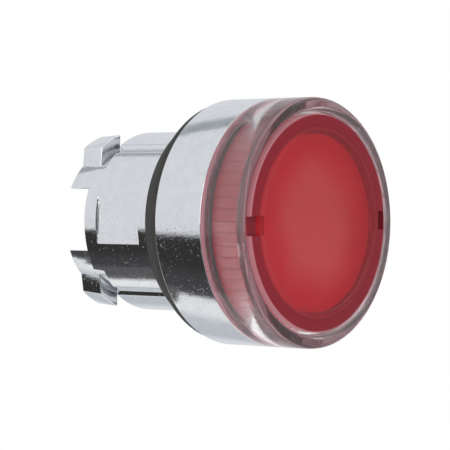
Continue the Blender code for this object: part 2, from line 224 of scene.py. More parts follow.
def box_mesh(name, low, high, turn_deg=0.0):
    """A box between two corners in millimetres, turned about the push axis."""
    bm = bmesh.new()
    bmesh.ops.create_cube(bm, size=1.0)
    size = [(b - a) * MM for a, b in zip(low, high)]
    middle = [(a + b) / 2 * MM for a, b in zip(low, high)]
    bmesh.ops.scale(bm, vec=size, verts=bm.verts)
    bmesh.ops.translate(bm, vec=middle, verts=bm.verts)
    bmesh.ops.rotate(bm, matrix=Matrix.Rotation(-math.radians(turn_deg), 3, "Y"), verts=bm.verts)
    return finish_mesh(bm, name)


def settle(obj):
    """Applies the object's modifiers."""
    graph = bpy.context.evaluated_depsgraph_get()
    mesh = bpy.data.meshes.new_from_object(obj.evaluated_get(graph), depsgraph=graph)
    obj.modifiers.clear()
    obj.data = mesh
    mesh.shade_smooth()
    mesh.set_sharp_from_angle(angle=math.radians(SHARP_DEG))
    return obj


def carve(obj, tools, operation="DIFFERENCE"):
    """Cuts the tools out of the object, or joins them to it with UNION."""
    for tool in tools:
        modifier = obj.modifiers.new(tool.name, "BOOLEAN")
        modifier.operation = operation
        modifier.object = tool
    settle(obj)
    for tool in tools:
        bpy.data.objects.remove(tool)


def merged(name, objects):
    """Several objects as one."""
    bm = bmesh.new()
    for obj in objects:
        bm.from_mesh(obj.data)
        bpy.data.objects.remove(obj)
    return finish_mesh(bm, name)


def wear(obj, material, body, slot, *nodes):
    """Gives a piece its material and its body, and lets it stand for CAD nodes. Its slot is not used."""
    obj.data.materials.clear()
    obj.data.materials.append(material)
    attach(obj, body)
    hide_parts(*nodes)
    return obj


# Materials

CLEAR_TINT = (0.96, 0.96, 0.965, 1)
CLEAR_SHARE = 0.98
# Where the painted red light in the guard ring's rear begins, in millimetres along the axis.
GUARD_RED_LIGHT_FROM = (-11.05, -10.6)


class Graph:
    """A small builder for shader nodes."""

    def __init__(self, tree):
        self.tree = tree

    def add(self, kind, settings=None, inputs=None):
        node = self.tree.nodes.new(kind)
        for key, value in (settings or {}).items():
            setattr(node, key, value)
        for key, value in (inputs or {}).items():
            self.put(node.inputs[key], value)
        return node

    def put(self, socket, value):
        if isinstance(value, bpy.types.NodeSocket):
            self.tree.links.new(value, socket)
        else:
            socket.default_value = value

    def place(self, scale=(1, 1, 1)):
        coordinates = self.add("ShaderNodeTexCoord").outputs["Object"]
        inputs = {"Vector": coordinates, "Scale": scale}
        return self.add("ShaderNodeMapping", None, inputs).outputs["Vector"]

    def noise(self, scale, detail=3.0, rough=0.5, stretch=(1, 1, 1)):
        inputs = {"Vector": self.place(stretch), "Scale": scale, "Detail": detail, "Roughness": rough}
        return self.add("ShaderNodeTexNoise", None, inputs).outputs["Fac"]

    def span(self, value, low, high, out_low, out_high, smooth=False):
        kind = "SMOOTHSTEP" if smooth else "LINEAR"
        inputs = {"Value": value, "From Min": low, "From Max": high, "To Min": out_low, "To Max": out_high}
        return self.add("ShaderNodeMapRange", {"interpolation_type": kind}, inputs).outputs["Result"]

    def maths(self, operation, a, b=0.0):
        return self.add("ShaderNodeMath", {"operation": operation}, {0: a, 1: b}).outputs[0]

    def blend(self, share, a, b):
        """The colour a where the share is 0 and b where it is 1."""
        return self.add("ShaderNodeMix", {"data_type": "RGBA"}, {0: share, 6: a, 7: b}).outputs[2]


class Shade(Graph):
    """A node material round one Principled shader."""

    def __init__(self, name):
        self.material = bpy.data.materials.new(name)
        self.material.use_nodes = True
        super().__init__(self.material.node_tree)
        self.shader = self.tree.nodes["Principled BSDF"]

    def set(self, **values):
        for key, value in values.items():
            self.put(self.shader.inputs[key.replace("_", " ")], value)

    def bump(self, height, strength, distance):
        inputs = {"Height": height, "Strength": strength, "Distance": distance}
        self.set(Normal=self.add("ShaderNodeBump", None, inputs).outputs["Normal"])

    def axis_radius(self):
        """Distance from the push axis, in metres, and the place along it."""
        parts = self.add("ShaderNodeSeparateXYZ", None, {"Vector": self.place()}).outputs
        across, upward = (self.maths("MULTIPLY", parts[i], parts[i]) for i in (0, 2))
        return self.maths("SQRT", self.maths("ADD", across, upward)), parts[1]

    def ease(self, value, low, high, out_low=0.0, out_high=1.0):
        """A smooth change between two places in millimetres."""
        return self.span(value, low * MM, high * MM, out_low, out_high, True)


def chrome_material():
    """Bright plate over a slightly uneven casting, with specks, and painted shade that darkens it in narrow
    recesses.
    """
    shade = Shade("chrome_plate")
    cast = shade.noise(800.0, 4.0, 0.55)
    grain = shade.noise(5200.0, 2.0, 0.6)
    specks = shade.span(shade.noise(4300.0, 1.0, 0.5), 0.66, 0.78, 0.0, 1.7, True)
    scratches = shade.noise(3800.0, 2.0, 0.7, (1.0, 0.12, 1.0))
    shade.set(Metallic=1.0)
    light, bright, recess_shade = (0.84, 0.85, 0.87, 1), (0.90, 0.91, 0.92, 1), (0.30, 0.31, 0.33, 1)
    plate = shade.blend(shade.span(cast, 0.3, 0.7, 0.0, 1.0), light, bright)
    # Painted shade: ambient occlusion blends the plate colour towards a dark grey in narrow recesses.
    nook = shade.add("ShaderNodeAmbientOcclusion", {"samples": 8}, {"Distance": 3.5 * MM}).outputs["AO"]
    openness = shade.span(nook, 0.35, 0.7, 0.0, 1.0, True)
    shade.set(Base_Color=shade.blend(openness, recess_shade, plate))
    shade.set(Roughness=shade.span(grain, 0.35, 0.75, 0.05, 0.16))
    height = shade.maths("MULTIPLY", grain, 0.35)
    for part in (shade.maths("MULTIPLY", scratches, 0.4), specks, cast):
        height = shade.maths("ADD", height, part)
    shade.bump(height, 0.3, 0.00003)
    return shade.material


def steel_material():
    shade = Shade("spring_steel")
    grain = shade.noise(4000.0, 3.0, 0.6, (1.0, 0.2, 1.0))
    shade.set(Metallic=1.0)
    shade.set(Base_Color=shade.blend(grain, (0.50, 0.51, 0.53, 1), (0.68, 0.69, 0.70, 1)))
    shade.set(Roughness=shade.span(grain, 0.3, 0.7, 0.2, 0.4))
    shade.bump(grain, 0.2, 0.00002)
    return shade.material


def rubber_material():
    shade = Shade("dark_rubber")
    mottle = shade.noise(600.0, 4.0, 0.6)
    grain = shade.noise(7000.0, 2.0, 0.5)
    shade.set(Base_Color=shade.blend(mottle, (0.026, 0.025, 0.023, 1), (0.050, 0.047, 0.043, 1)))
    shade.set(Roughness=shade.span(grain, 0.3, 0.7, 0.5, 0.72))
    shade.set(Specular_IOR_Level=0.35)
    shade.bump(grain, 0.35, 0.00002)
    return shade.material


def plastic_material(name, dark, light, roughness):
    shade = Shade(name)
    mottle = shade.noise(500.0, 3.0, 0.5)
    grain = shade.noise(6000.0, 2.0, 0.5)
    shade.set(Base_Color=shade.blend(mottle, (*dark, 1), (*light, 1)))
    shade.set(Roughness=shade.span(grain, 0.3, 0.7, roughness - 0.08, roughness + 0.08))
    shade.bump(grain, 0.25, 0.000015)
    return shade.material


def polycarbonate(name):
    """A clear surface with faint moulding waves and dust."""
    shade = Shade(name)
    waves = shade.noise(260.0, 2.0, 0.4)
    dust = shade.noise(5000.0, 2.0, 0.5)
    shade.set(IOR=1.5, Roughness=shade.span(dust, 0.5, 0.8, 0.03, 0.10))
    shade.bump(waves, 0.10, 0.00004)
    return shade


def clear_material():
    shade = polycarbonate("clear_polycarbonate")
    shade.set(Base_Color=CLEAR_TINT, Transmission_Weight=CLEAR_SHARE)
    return shade.material


def guard_material():
    """The guard ring's clear polycarbonate, with red light from the lens painted into its rear part."""
    shade = polycarbonate("guard_polycarbonate")
    # Painted reflection: the rear of the clear ring is coloured red as the lens's light would show in it.
    rear = shade.ease(shade.axis_radius()[1], *GUARD_RED_LIGHT_FROM)
    shade.set(Base_Color=shade.blend(rear, CLEAR_TINT, (0.80, 0.34, 0.40, 1)))
    shade.set(Transmission_Weight=shade.span(rear, 0.0, 1.0, CLEAR_SHARE, 0.7))
    shade.set(Alpha=shade.span(rear, 0.0, 1.0, 0.93, 1.0))
    return shade.material


def lens_material():
    """Translucent red polycarbonate: hazy in the middle, with painted shade darkening the rim and a painted
    highlight making the very edge paler.
    """
    shade = Shade("red_lens")
    from_axis, along = shade.axis_radius()
    grain = shade.noise(4500.0, 2.0, 0.5)
    clouds = shade.noise(180.0, 2.0, 0.5)
    spread = shade.maths("ADD", from_axis, shade.span(clouds, 0.3, 0.7, -0.8 * MM, 0.8 * MM))
    face = shade.blend(shade.ease(spread, 4.5, 9.5), (0.76, 0.18, 0.18, 1), (0.74, 0.08, 0.10, 1))
    # Painted shade: the rim's colour is darkened.
    rim = shade.blend(shade.ease(from_axis, 10.6, 11.3), face, (0.23, 0.016, 0.026, 1))
    # Painted highlight: a pale line along the rounded front edge.
    front = shade.blend(shade.ease(from_axis, 12.52, 12.60), rim, (0.46, 0.17, 0.20, 1))
    skirt = shade.maths("MULTIPLY", shade.ease(along, -15.7, -14.9), shade.ease(from_axis, 12.35, 12.6))
    shade.set(Base_Color=shade.blend(skirt, front, (0.58, 0.025, 0.045, 1)), IOR=1.5)
    shade.set(Transmission_Weight=shade.ease(from_axis, 10.6, 11.5, 0.85, 0.3))
    shade.set(Roughness=shade.span(grain, 0.3, 0.7, 0.10, 0.18))
    shade.bump(grain, 0.10, 0.00001)
    return shade.material


# The housing


def nearest_groove(angle):
    """Distance in millimetres round the tube from the middle of the nearest keying groove."""
    degrees = math.degrees(angle) % 360.0
    return min(abs(degrees - groove) for groove in GROOVES_DEG) * math.pi / 180 * TUBE_RADIUS


def soft_step(value, at, width=0.14):
    """Rises from 0 to 1 over the width round one place."""
    share = min(max((value - at) / width + 0.5, 0.0), 1.0)
    return share * share * (3.0 - 2.0 * share)


def tube_rim(angle):
    """The rear rim's station: furthest back at the side ears, less at the top and bottom crowns."""
    x, z = abs(TUBE_RADIUS * math.cos(angle)), abs(TUBE_RADIUS * math.sin(angle))
    ear = 1.0 - soft_step(z, EAR_HALF_HEIGHT)
    crown = 1.0 - soft_step(x, CROWN_HALF_WIDTH)
    return TUBE_BACK + (EAR_BACK - TUBE_BACK) * ear + (CROWN_BACK - TUBE_BACK) * crown


def shape_tube(angle, r, y):
    """Cuts the keying grooves and the side flats, and gives the rim its steps."""
    first, last = FLAT_STATIONS
    if y > last + FLAT_END:
        y += (tube_rim(angle) - TUBE_BACK) * soft_step(y, last + 0.2, FLAT_END)
    if abs(r - TUBE_RADIUS) > TUBE_SKIN or y < BEZEL_BACK:
        return r, y
    r -= GROOVE_DEPTH * (1.0 - soft_step(nearest_groove(angle), GROOVE_WIDTH / 2, GROOVE_WALL))
    height = abs(TUBE_RADIUS * math.sin(angle))
    inside = soft_step(y, first, FLAT_END) * (1.0 - soft_step(y, last, FLAT_END))
    inside *= 1.0 - soft_step(height, FLAT_HALF_HEIGHT)
    flat = (TUBE_RADIUS - FLAT_DEPTH) / max(abs(math.cos(angle)), 0.5)
    return r + (min(flat, r) - r) * inside, y


def bezel_and_tube():
    """The bezel, its floor and the tube as one turned shell, with fine rows at the ends of the flats."""
    foot = (BEZEL_RADIUS - 0.35, BEZEL_BACK, 0.0)
    outline = [
        foot,
        (BEZEL_RADIUS, BEZEL_BACK - 0.22, 0.2),
        (BEZEL_RADIUS, BEZEL_FRONT, 0.12),
        (BEZEL_BORE, BEZEL_FRONT, 0.1),
        (BEZEL_BORE, BEZEL_FLOOR, 0.3),
        (TUBE_BORE, BEZEL_FLOOR, 0.2),
        (TUBE_BORE, BUSH_SHOULDER, 0.1),
        (SLEEVE_MIDDLE, BUSH_SHOULDER, 0.05),
        (SLEEVE_MIDDLE, TUBE_BACK, 0.1),
        (TUBE_RADIUS, TUBE_BACK, 0.16),
    ]
    first, last = FLAT_STATIONS
    points = rounded(outline + [(TUBE_RADIUS, last + 0.16, 0.0)], closed=False)
    for end, offsets in ((last, (0.12, 0.04, -0.02, -0.08)), (first, (0.08, 0.02, -0.04, -0.1))):
        points += [Vector((TUBE_RADIUS, end + offset)) for offset in offsets]
    shoulder = [(TUBE_RADIUS, 0.0, 0.0), (TUBE_RADIUS, BEZEL_BACK, 0.12), foot]
    points += rounded(shoulder, closed=False)[:-1]
    return lathe("bezel_and_tube", points, SHAPED_STEPS, True, shape_tube)


def sleeve_half(up):
    """One half of the bayonet sleeve, cut level at the side slots."""
    front, back = BUSH_SHOULDER + 0.2, SLEEVE_BACK

    def corner(r, y, share):
        low = math.asin(SLOT_HALF_HEIGHT / r)
        angle = low + (math.pi - 2 * low) * share
        return r * math.cos(angle), y, up * r * math.sin(angle)

    def section(share):
        places = ((SLEEVE_BORE, front), (SLEEVE_RADIUS, front), (SLEEVE_RADIUS, back), (SLEEVE_BORE, back))
        return [corner(r, y, share) for r, y in places]

    return swept_block(f"sleeve_{up}", section, 96, 0.2)


def tooth(side, up):
    """One bayonet tooth, a block from near the middle out to a side face that leans inwards."""
    near, far = TOOTH_X
    inner = SLEEVE_MIDDLE
    slant = UPPER_TOOTH_LEAN if up > 0 else LOWER_TOOTH_LEAN

    def section(share):
        x = near + (far - near) * share
        back = SLEEVE_BACK - CLEARANCE
        rear_radius = TOOTH_RADIUS - TOOTH_TAPER
        places = ((TOOTH_FRONT, inner), (TOOTH_FRONT, TOOTH_RADIUS), (back, rear_radius), (back, inner))
        corners = []
        for y, r in places:
            lean = slant * share if r > inner else 0.0
            corners.append((side * (x - lean), y, up * math.sqrt(r * r - x * x)))
        return corners

    return swept_block(f"tooth_{side}_{up}", section, 20, 0.28)


def make_housing(chrome):
    shapes = [bezel_and_tube()]
    for up in (-1, 1):
        shapes.append(sleeve_half(up))
        shapes += [tooth(side, up) for side in (-1, 1)]
    wear(merged("housing_shell", shapes), chrome, "housing", "chrome", "housing")


# Clear guard ring, gasket and lens


def make_guard_ring(clear):
    """The clear ring round the lens, with a small key in its bore."""
    spigot, seat = BEZEL_BORE - 0.05, BEZEL_FRONT - CLEARANCE
    corners = [
        (spigot, GUARD_BACK, 0.2),
        (spigot, seat, 0.03),
        (BEZEL_RADIUS, seat, 0.08),
        (BEZEL_RADIUS, GUARD_FRONT, GUARD_EDGE),
        (GUARD_BORE, GUARD_FRONT, GUARD_EDGE),
        (GUARD_BORE, GUARD_BACK, 0.1),
    ]
    ring = lathe("guard_ring_clear", rounded(corners), OUTER_STEPS)
    low = (GUARD_BORE - 0.15, GUARD_FRONT + 1.0, -GUARD_KEY_WIDTH / 2)
    high = (GUARD_BORE + 0.3, GUARD_BACK - 0.5, GUARD_KEY_WIDTH / 2)
    carve(ring, [box_mesh("guard_key", low, high, GUARD_KEY_DEG)], "UNION")
    wear(ring, clear, "housing", "clear_plastic", "guard_ring")


def make_gasket(rubber):
    """The stepped rubber ring between the bezel and the panel, with its lip against the panel."""
    seat = BEZEL_BACK + CLEARANCE
    corners = [
        (GASKET_LIP, 0.0, 0.25),
        (13.15, -2.0, 0.3),
        (GASKET_RADIUS, -2.25, 0.3),
        (GASKET_RADIUS, seat, 0.1),
        (GASKET_BORE, seat, 0.0),
        (GASKET_BORE, 0.0, 0.2),
    ]
    gasket = lathe("gasket_rubber", rounded(corners), OUTER_STEPS)
    wear(gasket, rubber, "housing", "dark_rubber", "panel_gasket")


def ribbed(angle, r, y):
    """Fine axial grooves on the lens skirt."""
    if r < LENS_RADIUS - 0.05 or y < RIBS_FROM:
        return r, y
    off = math.degrees(angle) % RIB_PITCH_DEG
    off = min(off, RIB_PITCH_DEG - off)
    return r - RIB_GROOVE_DEPTH * max(0.0, 1.0 - off / RIB_GROOVE_DEG), y


def lens_outline():
    """The lens cap from the middle of its inside round to the middle of its dished face."""
    inner = LENS_RADIUS - LENS_WALL
    corners = [
        (0.0, LENS_INSIDE, 0.0),
        (inner, LENS_INSIDE, 0.3),
        (inner, LENS_BACK, 0.1),
        (LENS_RADIUS, LENS_BACK, 0.1),
        (LENS_RADIUS, RIBS_FROM + 0.05, 0.0),
        (LENS_RADIUS, RIBS_FROM - 0.15, 0.0),
        (LENS_RADIUS, LENS_FRONT, 0.24),
        (LENS_DISH + 0.3, LENS_FRONT, 0.5),
        (LENS_DISH, LENS_FRONT + DISH_STEP, 0.0),
    ]
    points = rounded(corners, closed=False)
    for i in range(1, DISH_STEPS + 1):
        share = i / DISH_STEPS
        depth = DISH_STEP + (LENS_DISH_DEPTH - DISH_STEP) * math.sin(share * math.pi / 2)
        points.append(Vector((LENS_DISH * (1.0 - share), LENS_FRONT + depth)))
    return points


def make_lens(red):
    """The red cap, with a notch in its rim at each side."""
    lens = lathe("lens_red", lens_outline(), SHAPED_STEPS, False, ribbed)
    notches = []
    for half_turn, inner, outer in NOTCHES:
        low = (inner, LENS_FRONT - 1.0, -NOTCH_WIDTH / 2)
        high = (outer, LENS_FRONT + NOTCH_DEPTH, NOTCH_WIDTH / 2)
        notches.append(box_mesh(f"notch_{half_turn:.0f}", low, high, LENS_TURN_DEG + half_turn))
    carve(lens, notches)
    wear(lens, red, "lens", "red_lens", "lens_cap")


# Inner pieces, in millimetres

STEM_RADIUS = 6.0
STEM_BORE = 5.0
CLIP_GROOVE_RADIUS = 5.6
FLANGE_RADIUS = 9.0
FLANGE_FRONT = -8.5
FLANGE_BACK = -7.7
GUIDE_RADIUS = 4.6
GUIDE_DOME = 1.6
GUIDE_STEPS = 12
WIPER_BORE = 11.6
O_RING_RADIUS = 10.95
O_RING_STATION = -14.6
O_RING_CORD = 0.28
O_RING_SIDES = 16
CARRIER_RADIUS = 11.4
CARRIER_BORE = 10.3
CARRIER_FLOOR = -8.8
PUSHER_RADIUS = 7.6
PUSHER_BORE = 6.3
PUSHER_FRONT = 12.3
PUSHER_BACK = 13.8
PAD_HALF_WIDTH = 3.2
PAD_FRONT = 13.5
PAD_RADII = (7.05, 7.55)
BUSH_RADIUS = 7.6
BUSH_FLANGE = 9.1
BUSH_BORE = 6.3
SPRING_WIRE = 0.4
SPRING_RADIUS = 7.75
SPRING_SIDES = 10
STEPS_PER_TURN = 40
ACTIVE_TURNS = 4.0
CLOSED_TURNS = 0.9
CLOSED_PITCH = 2 * SPRING_WIRE * 1.02
SNAP_RINGS = (
    ("bush_snap_ring", 8.7, "housing", 3.0),
    ("carrier_lock_ring", 5.75, "plunger", 2.4),
    ("pusher_clip", 5.75, "plunger", 2.4),
    ("light_guide_clip", 4.1, "plunger", 1.6),
)


def fine_ring(node, inner, material, body, slot, edge=0.08):
    """A CAD ring again, round and with rounded edges, in the place its box gives."""
    front, back, outer = station(node, 0), station(node, 1), radius(node)
    corners = [(outer, back, edge), (outer, front, edge), (inner, front, edge), (inner, back, edge)]
    ring = lathe(node + "_fine", rounded(corners, True, 3), INNER_STEPS)
    return wear(ring, material, body, slot, node)


def split(ring, node, gap):
    """Opens a snap ring at the bottom."""
    outer = radius(node)
    low = (-gap / 2, station(node, 0) - 1.0, -outer - 1.0)
    high = (gap / 2, station(node, 1) + 1.0, 0.0)
    material = ring.data.materials[0]
    carve(ring, [box_mesh(node + "_gap", low, high)])
    ring.data.materials.clear()
    ring.data.materials.append(material)


def make_rings(rubber, steel):
    fine_ring("guard_ring_seal", 12.8, rubber, "housing", "dark_rubber")
    fine_ring("return_buffer", 6.4, rubber, "housing", "dark_rubber", 0.15)
    fine_ring("spring_seat_washer", 6.5, steel, "housing", "spring_steel")
    fine_ring("spring_front_washer", 6.3, steel, "plunger", "spring_steel")
    for node, inner, body, gap in SNAP_RINGS:
        split(fine_ring(node, inner, steel, body, "spring_steel"), node, gap)


def fine_disc(node, material, slot):
    """A CAD disc again, with rounded edges."""
    front, back, outer = station(node, 0), station(node, 1), radius(node)
    corners = [(0.0, back, 0.0), (outer, back, 0.1), (outer, front, 0.1), (0.0, front, 0.0)]
    disc = lathe(node + "_fine", rounded(corners, False, 3), INNER_STEPS, False)
    wear(disc, material, "plunger", slot, node)


def clip_groove(back, front):
    """The four corners of a square groove round the stem."""
    outer, inner = STEM_RADIUS, CLIP_GROOVE_RADIUS
    return [(r, y, 0.0) for r, y in ((outer, back), (inner, back), (inner, front), (outer, front))]


def make_stem(white):
    """The hollow plunger stem, with a flange, two clip grooves and two guide ways."""
    front, back = station("plunger_sleeve", 0), station("plunger_sleeve", 1)
    corners = [
        (STEM_RADIUS, back, 0.25),
        *clip_groove(14.55, 14.05),
        (STEM_RADIUS, FLANGE_BACK, 0.2),
        (FLANGE_RADIUS, FLANGE_BACK, 0.15),
        (FLANGE_RADIUS, FLANGE_FRONT, 0.15),
        (STEM_RADIUS, FLANGE_FRONT, 0.1),
        *clip_groove(-10.5, -11.0),
        (STEM_RADIUS, front, 0.1),
        (STEM_BORE, front, 0.1),
        (STEM_BORE, back, 0.2),
    ]
    stem = lathe("plunger_stem_fine", rounded(corners, True, 3), INNER_STEPS)
    low, high = (-0.9, 2.0, 5.45), (0.9, 11.9, 7.0)
    carve(stem, [box_mesh(f"way_{up}", low, high, 90.0 - 90.0 * up) for up in (-1, 1)])
    wear(stem, white, "plunger", "white_plastic", "plunger_sleeve")


def make_light_guide(clear):
    """The clear rod in the stem, with a domed back."""
    front, back = station("light_guide", 0), station("light_guide", 1)
    outline = [(0.0, back)]
    for i in range(1, GUIDE_STEPS + 1):
        angle = math.pi / 2 * i / GUIDE_STEPS
        outline.append((GUIDE_RADIUS * math.sin(angle), back - GUIDE_DOME * (1.0 - math.cos(angle))))
    outline += [(GUIDE_RADIUS, front), (0.0, front)]
    wear(lathe("light_guide_fine", outline, 96, False), clear, "plunger", "clear_plastic", "light_guide")


def make_plunger_seals(rubber):
    """The wiper behind the lens cap and the O-ring inside it."""
    back, middle, front = -9.85, -10.3, -10.75
    wiper = [
        (12.2, back, 0.1),
        (12.5, middle, 0.15),
        (12.2, front, 0.1),
        (WIPER_BORE, front, 0.1),
        (WIPER_BORE, back, 0.1),
    ]
    wear(lathe("wiper_fine", rounded(wiper), 192), rubber, "plunger", "dark_rubber", "plunger_wiper_seal")
    cord = []
    for i in range(O_RING_SIDES):
        angle = 2 * math.pi * i / O_RING_SIDES
        across, along = O_RING_CORD * math.cos(angle), O_RING_CORD * math.sin(angle)
        cord.append((O_RING_RADIUS + across, O_RING_STATION - along))
    wear(lathe("o_ring_fine", cord, INNER_STEPS), rubber, "plunger", "dark_rubber", "lens_o_ring")


def make_carrier(white):
    """The cup that holds the lens, with a groove for the lens cap's lugs."""
    front = station("lens_carrier", 0)
    corners = [
        (12.4, CARRIER_FLOOR, 0.15),
        (12.4, -9.6, 0.1),
        (CARRIER_RADIUS, -9.6, 0.1),
        (CARRIER_RADIUS, -10.85, 0.1),
        (10.8, -10.85, 0.0),
        (10.8, -12.2, 0.0),
        (CARRIER_RADIUS, -12.2, 0.1),
        (CARRIER_RADIUS, front, 0.15),
        (CARRIER_BORE, front, 0.1),
        (CARRIER_BORE, -10.4, 0.1),
        (6.3, -10.4, 0.1),
        (6.3, CARRIER_FLOOR, 0.1),
    ]
    carrier = lathe("carrier_fine", rounded(corners, True, 3), 160)
    wear(carrier, white, "plunger", "white_plastic", "lens_carrier")


def pusher_pad(up):
    """One of the two pads that stand behind the pusher ring."""
    back = station("pusher_ring", 1)

    def section(share):
        x = PAD_HALF_WIDTH * (2 * share - 1)
        low, high = (math.sqrt(r * r - x * x) for r in PAD_RADII)
        return [(x, y, up * z) for y, z in ((PAD_FRONT, low), (PAD_FRONT, high), (back, high), (back, low))]

    return swept_block(f"pusher_pad_{up}", section, 20, 0.12)


def make_pusher(grey):
    corners = [
        (PUSHER_RADIUS, PUSHER_BACK, 0.15),
        (PUSHER_RADIUS, PUSHER_FRONT, 0.1),
        (PUSHER_BORE, PUSHER_FRONT, 0.1),
        (PUSHER_BORE, PUSHER_BACK, 0.15),
    ]
    ring = lathe("pusher_ring_body", rounded(corners, True, 3), INNER_STEPS)
    pusher = merged("pusher_fine", [ring] + [pusher_pad(up) for up in (-1, 1)])
    wear(pusher, grey, "plunger", "grey_plastic", "pusher_ring")


def make_plunger(white, grey, opal, clear, rubber):
    fine_disc("legend_disc", opal, "opal_plastic")
    fine_disc("diffuser_disc", clear, "clear_plastic")
    make_stem(white)
    make_light_guide(clear)
    make_plunger_seals(rubber)
    make_carrier(white)
    make_pusher(grey)


def make_bush(grey):
    """The bush the stem slides in, with two keys for the stem's guide ways."""
    front, shoulder, back = 5.6, 6.8, 11.2
    corners = [
        (BUSH_RADIUS, back, 0.15),
        (BUSH_RADIUS, shoulder, 0.1),
        (BUSH_FLANGE, shoulder, 0.1),
        (BUSH_FLANGE, front, 0.15),
        (BUSH_BORE, front, 0.1),
        (BUSH_BORE, back, 0.15),
    ]
    bush = lathe("bush_fine", rounded(corners, True, 3), INNER_STEPS)
    low, high = (-0.6, 7.0, 5.75), (0.6, 11.0, 6.8)
    carve(bush, [box_mesh(f"key_{up}", low, high, 90.0 - 90.0 * up) for up in (-1, 1)], "UNION")
    wear(bush, grey, "housing", "grey_plastic", "guide_bush")


def coil_station(turn, first, last):
    """Where the wire is after so many turns: close turns at both ends and open ones between."""
    close = min(turn, CLOSED_TURNS) + max(turn - CLOSED_TURNS - ACTIVE_TURNS, 0.0)
    active = min(max(turn - CLOSED_TURNS, 0.0), ACTIVE_TURNS)
    run = last - first - 2 * CLOSED_TURNS * CLOSED_PITCH
    return first + close * CLOSED_PITCH + active / ACTIVE_TURNS * run


def coil_mesh(first, last):
    """The wire as a tube round the push axis, with flat ends."""
    bm = bmesh.new()
    rows = []
    for i in range(int((ACTIVE_TURNS + 2 * CLOSED_TURNS) * STEPS_PER_TURN) + 1):
        turn = i / STEPS_PER_TURN
        angle = 2 * math.pi * turn
        row = []
        for k in range(SPRING_SIDES):
            round_wire = 2 * math.pi * k / SPRING_SIDES
            r = SPRING_RADIUS + SPRING_WIRE * math.cos(round_wire)
            y = coil_station(turn, first, last) + SPRING_WIRE * math.sin(round_wire)
            row.append(bm.verts.new(Vector((r * math.cos(angle), y, r * math.sin(angle))) * MM))
        rows.append(row)
    for row, following in zip(rows, rows[1:]):
        for k in range(SPRING_SIDES):
            m = (k + 1) % SPRING_SIDES
            bm.faces.new((row[k], row[m], following[m], following[k]))
    bm.faces.new(rows[0])
    bm.faces.new(rows[-1])
    return finish_mesh(bm, "spring_fine", 50.0)


def make_spring(steel):
    """The return spring, with close end turns."""
    front, back = station("return_spring", 0), station("return_spring", 1)
    spring = coil_mesh(front + SPRING_WIRE, back - SPRING_WIRE)
    wear(spring, steel, "housing", "spring_steel", "return_spring")
    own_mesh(spring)


# Studio

# Soft boxes and dark cards round the push axis: an angle in degrees, 0 at -X and 90 up, and a colour
REAR_CARDS = (
    (-180, (0.60, 0.61, 0.63)),
    (-150, (0.62, 0.64, 0.67)),
    (-134, (0.44, 0.465, 0.50)),
    (-106, (0.48, 0.505, 0.54)),
    (-94, (0.70, 0.71, 0.72)),
    (-75, (0.70, 0.71, 0.72)),
    (-71, (0.06, 0.06, 0.065)),
    (-50, (0.045, 0.043, 0.045)),
    (-40, (0.032, 0.030, 0.030)),
    (-15, (0.030, 0.028, 0.028)),
    (-11, (0.60, 0.61, 0.63)),
    (0, (0.63, 0.64, 0.66)),
    (90, (0.62, 0.64, 0.66)),
    (94, (0.30, 0.32, 0.34)),
    (104, (0.30, 0.32, 0.34)),
    (112, (0.62, 0.64, 0.67)),
    (180, (0.60, 0.61, 0.63)),
)
FRONT_CARDS = (
    (-180, (0.18, 0.17, 0.18)),
    (-140, (0.24, 0.22, 0.23)),
    (-124, (0.60, 0.60, 0.61)),
    (-112, (1.20, 1.20, 1.20)),
    (-100, (0.75, 0.75, 0.76)),
    (-80, (0.42, 0.42, 0.43)),
    (-40, (0.24, 0.23, 0.24)),
    (0, (0.34, 0.34, 0.35)),
    (60, (0.60, 0.60, 0.61)),
    (100, (0.75, 0.75, 0.76)),
    (125, (0.75, 0.75, 0.76)),
    (140, (1.00, 1.00, 1.00)),
    (160, (0.22, 0.20, 0.21)),
    (180, (0.18, 0.17, 0.18)),
)


CARD_OVERLAP = 0.25
CARD_STRENGTH = 1.15
PLAIN_THROUGH_GLASS = 0.3
TUBE_CARD = ((-27, 26.5), (-27, 58), (-6, 56), (-6, 26.5))
TUBE_CARD_HEIGHT = -40
LIGHT_SIZE = 0.25
LIGHTS = (
    ("key_light", (0.05, -0.35, 0.30), (0, -0.01, 0), 0.9, False),
    ("fill_light", (-0.35, -0.20, 0.10), (0, -0.005, 0), 0.3, True),
)
FLOOR_HALF_SIZE = 3.0
FLOOR_HEIGHT = -45 * MM
CAMERA_DEG = (-50.3, -0.44, 1.08)
CAMERA_DISTANCE = 256.6 * MM
CAMERA_LENS = 171.8
CAMERA_SHIFT = (-0.0227, -0.0067)


def card_ramp(graph, share, cards):
    """The colours of one row of cards, from the share of a full turn."""
    node = graph.add("ShaderNodeValToRGB", None, {0: share})
    ramp = node.color_ramp
    while len(ramp.elements) > 1:
        ramp.elements.remove(ramp.elements[0])
    for i, (degrees, colour) in enumerate(cards):
        place = (degrees + 180) / 360
        element = ramp.elements[0] if i == 0 else ramp.elements.new(place)
        element.position = place
        element.color = (*colour, 1.0)
    return node.outputs[0]


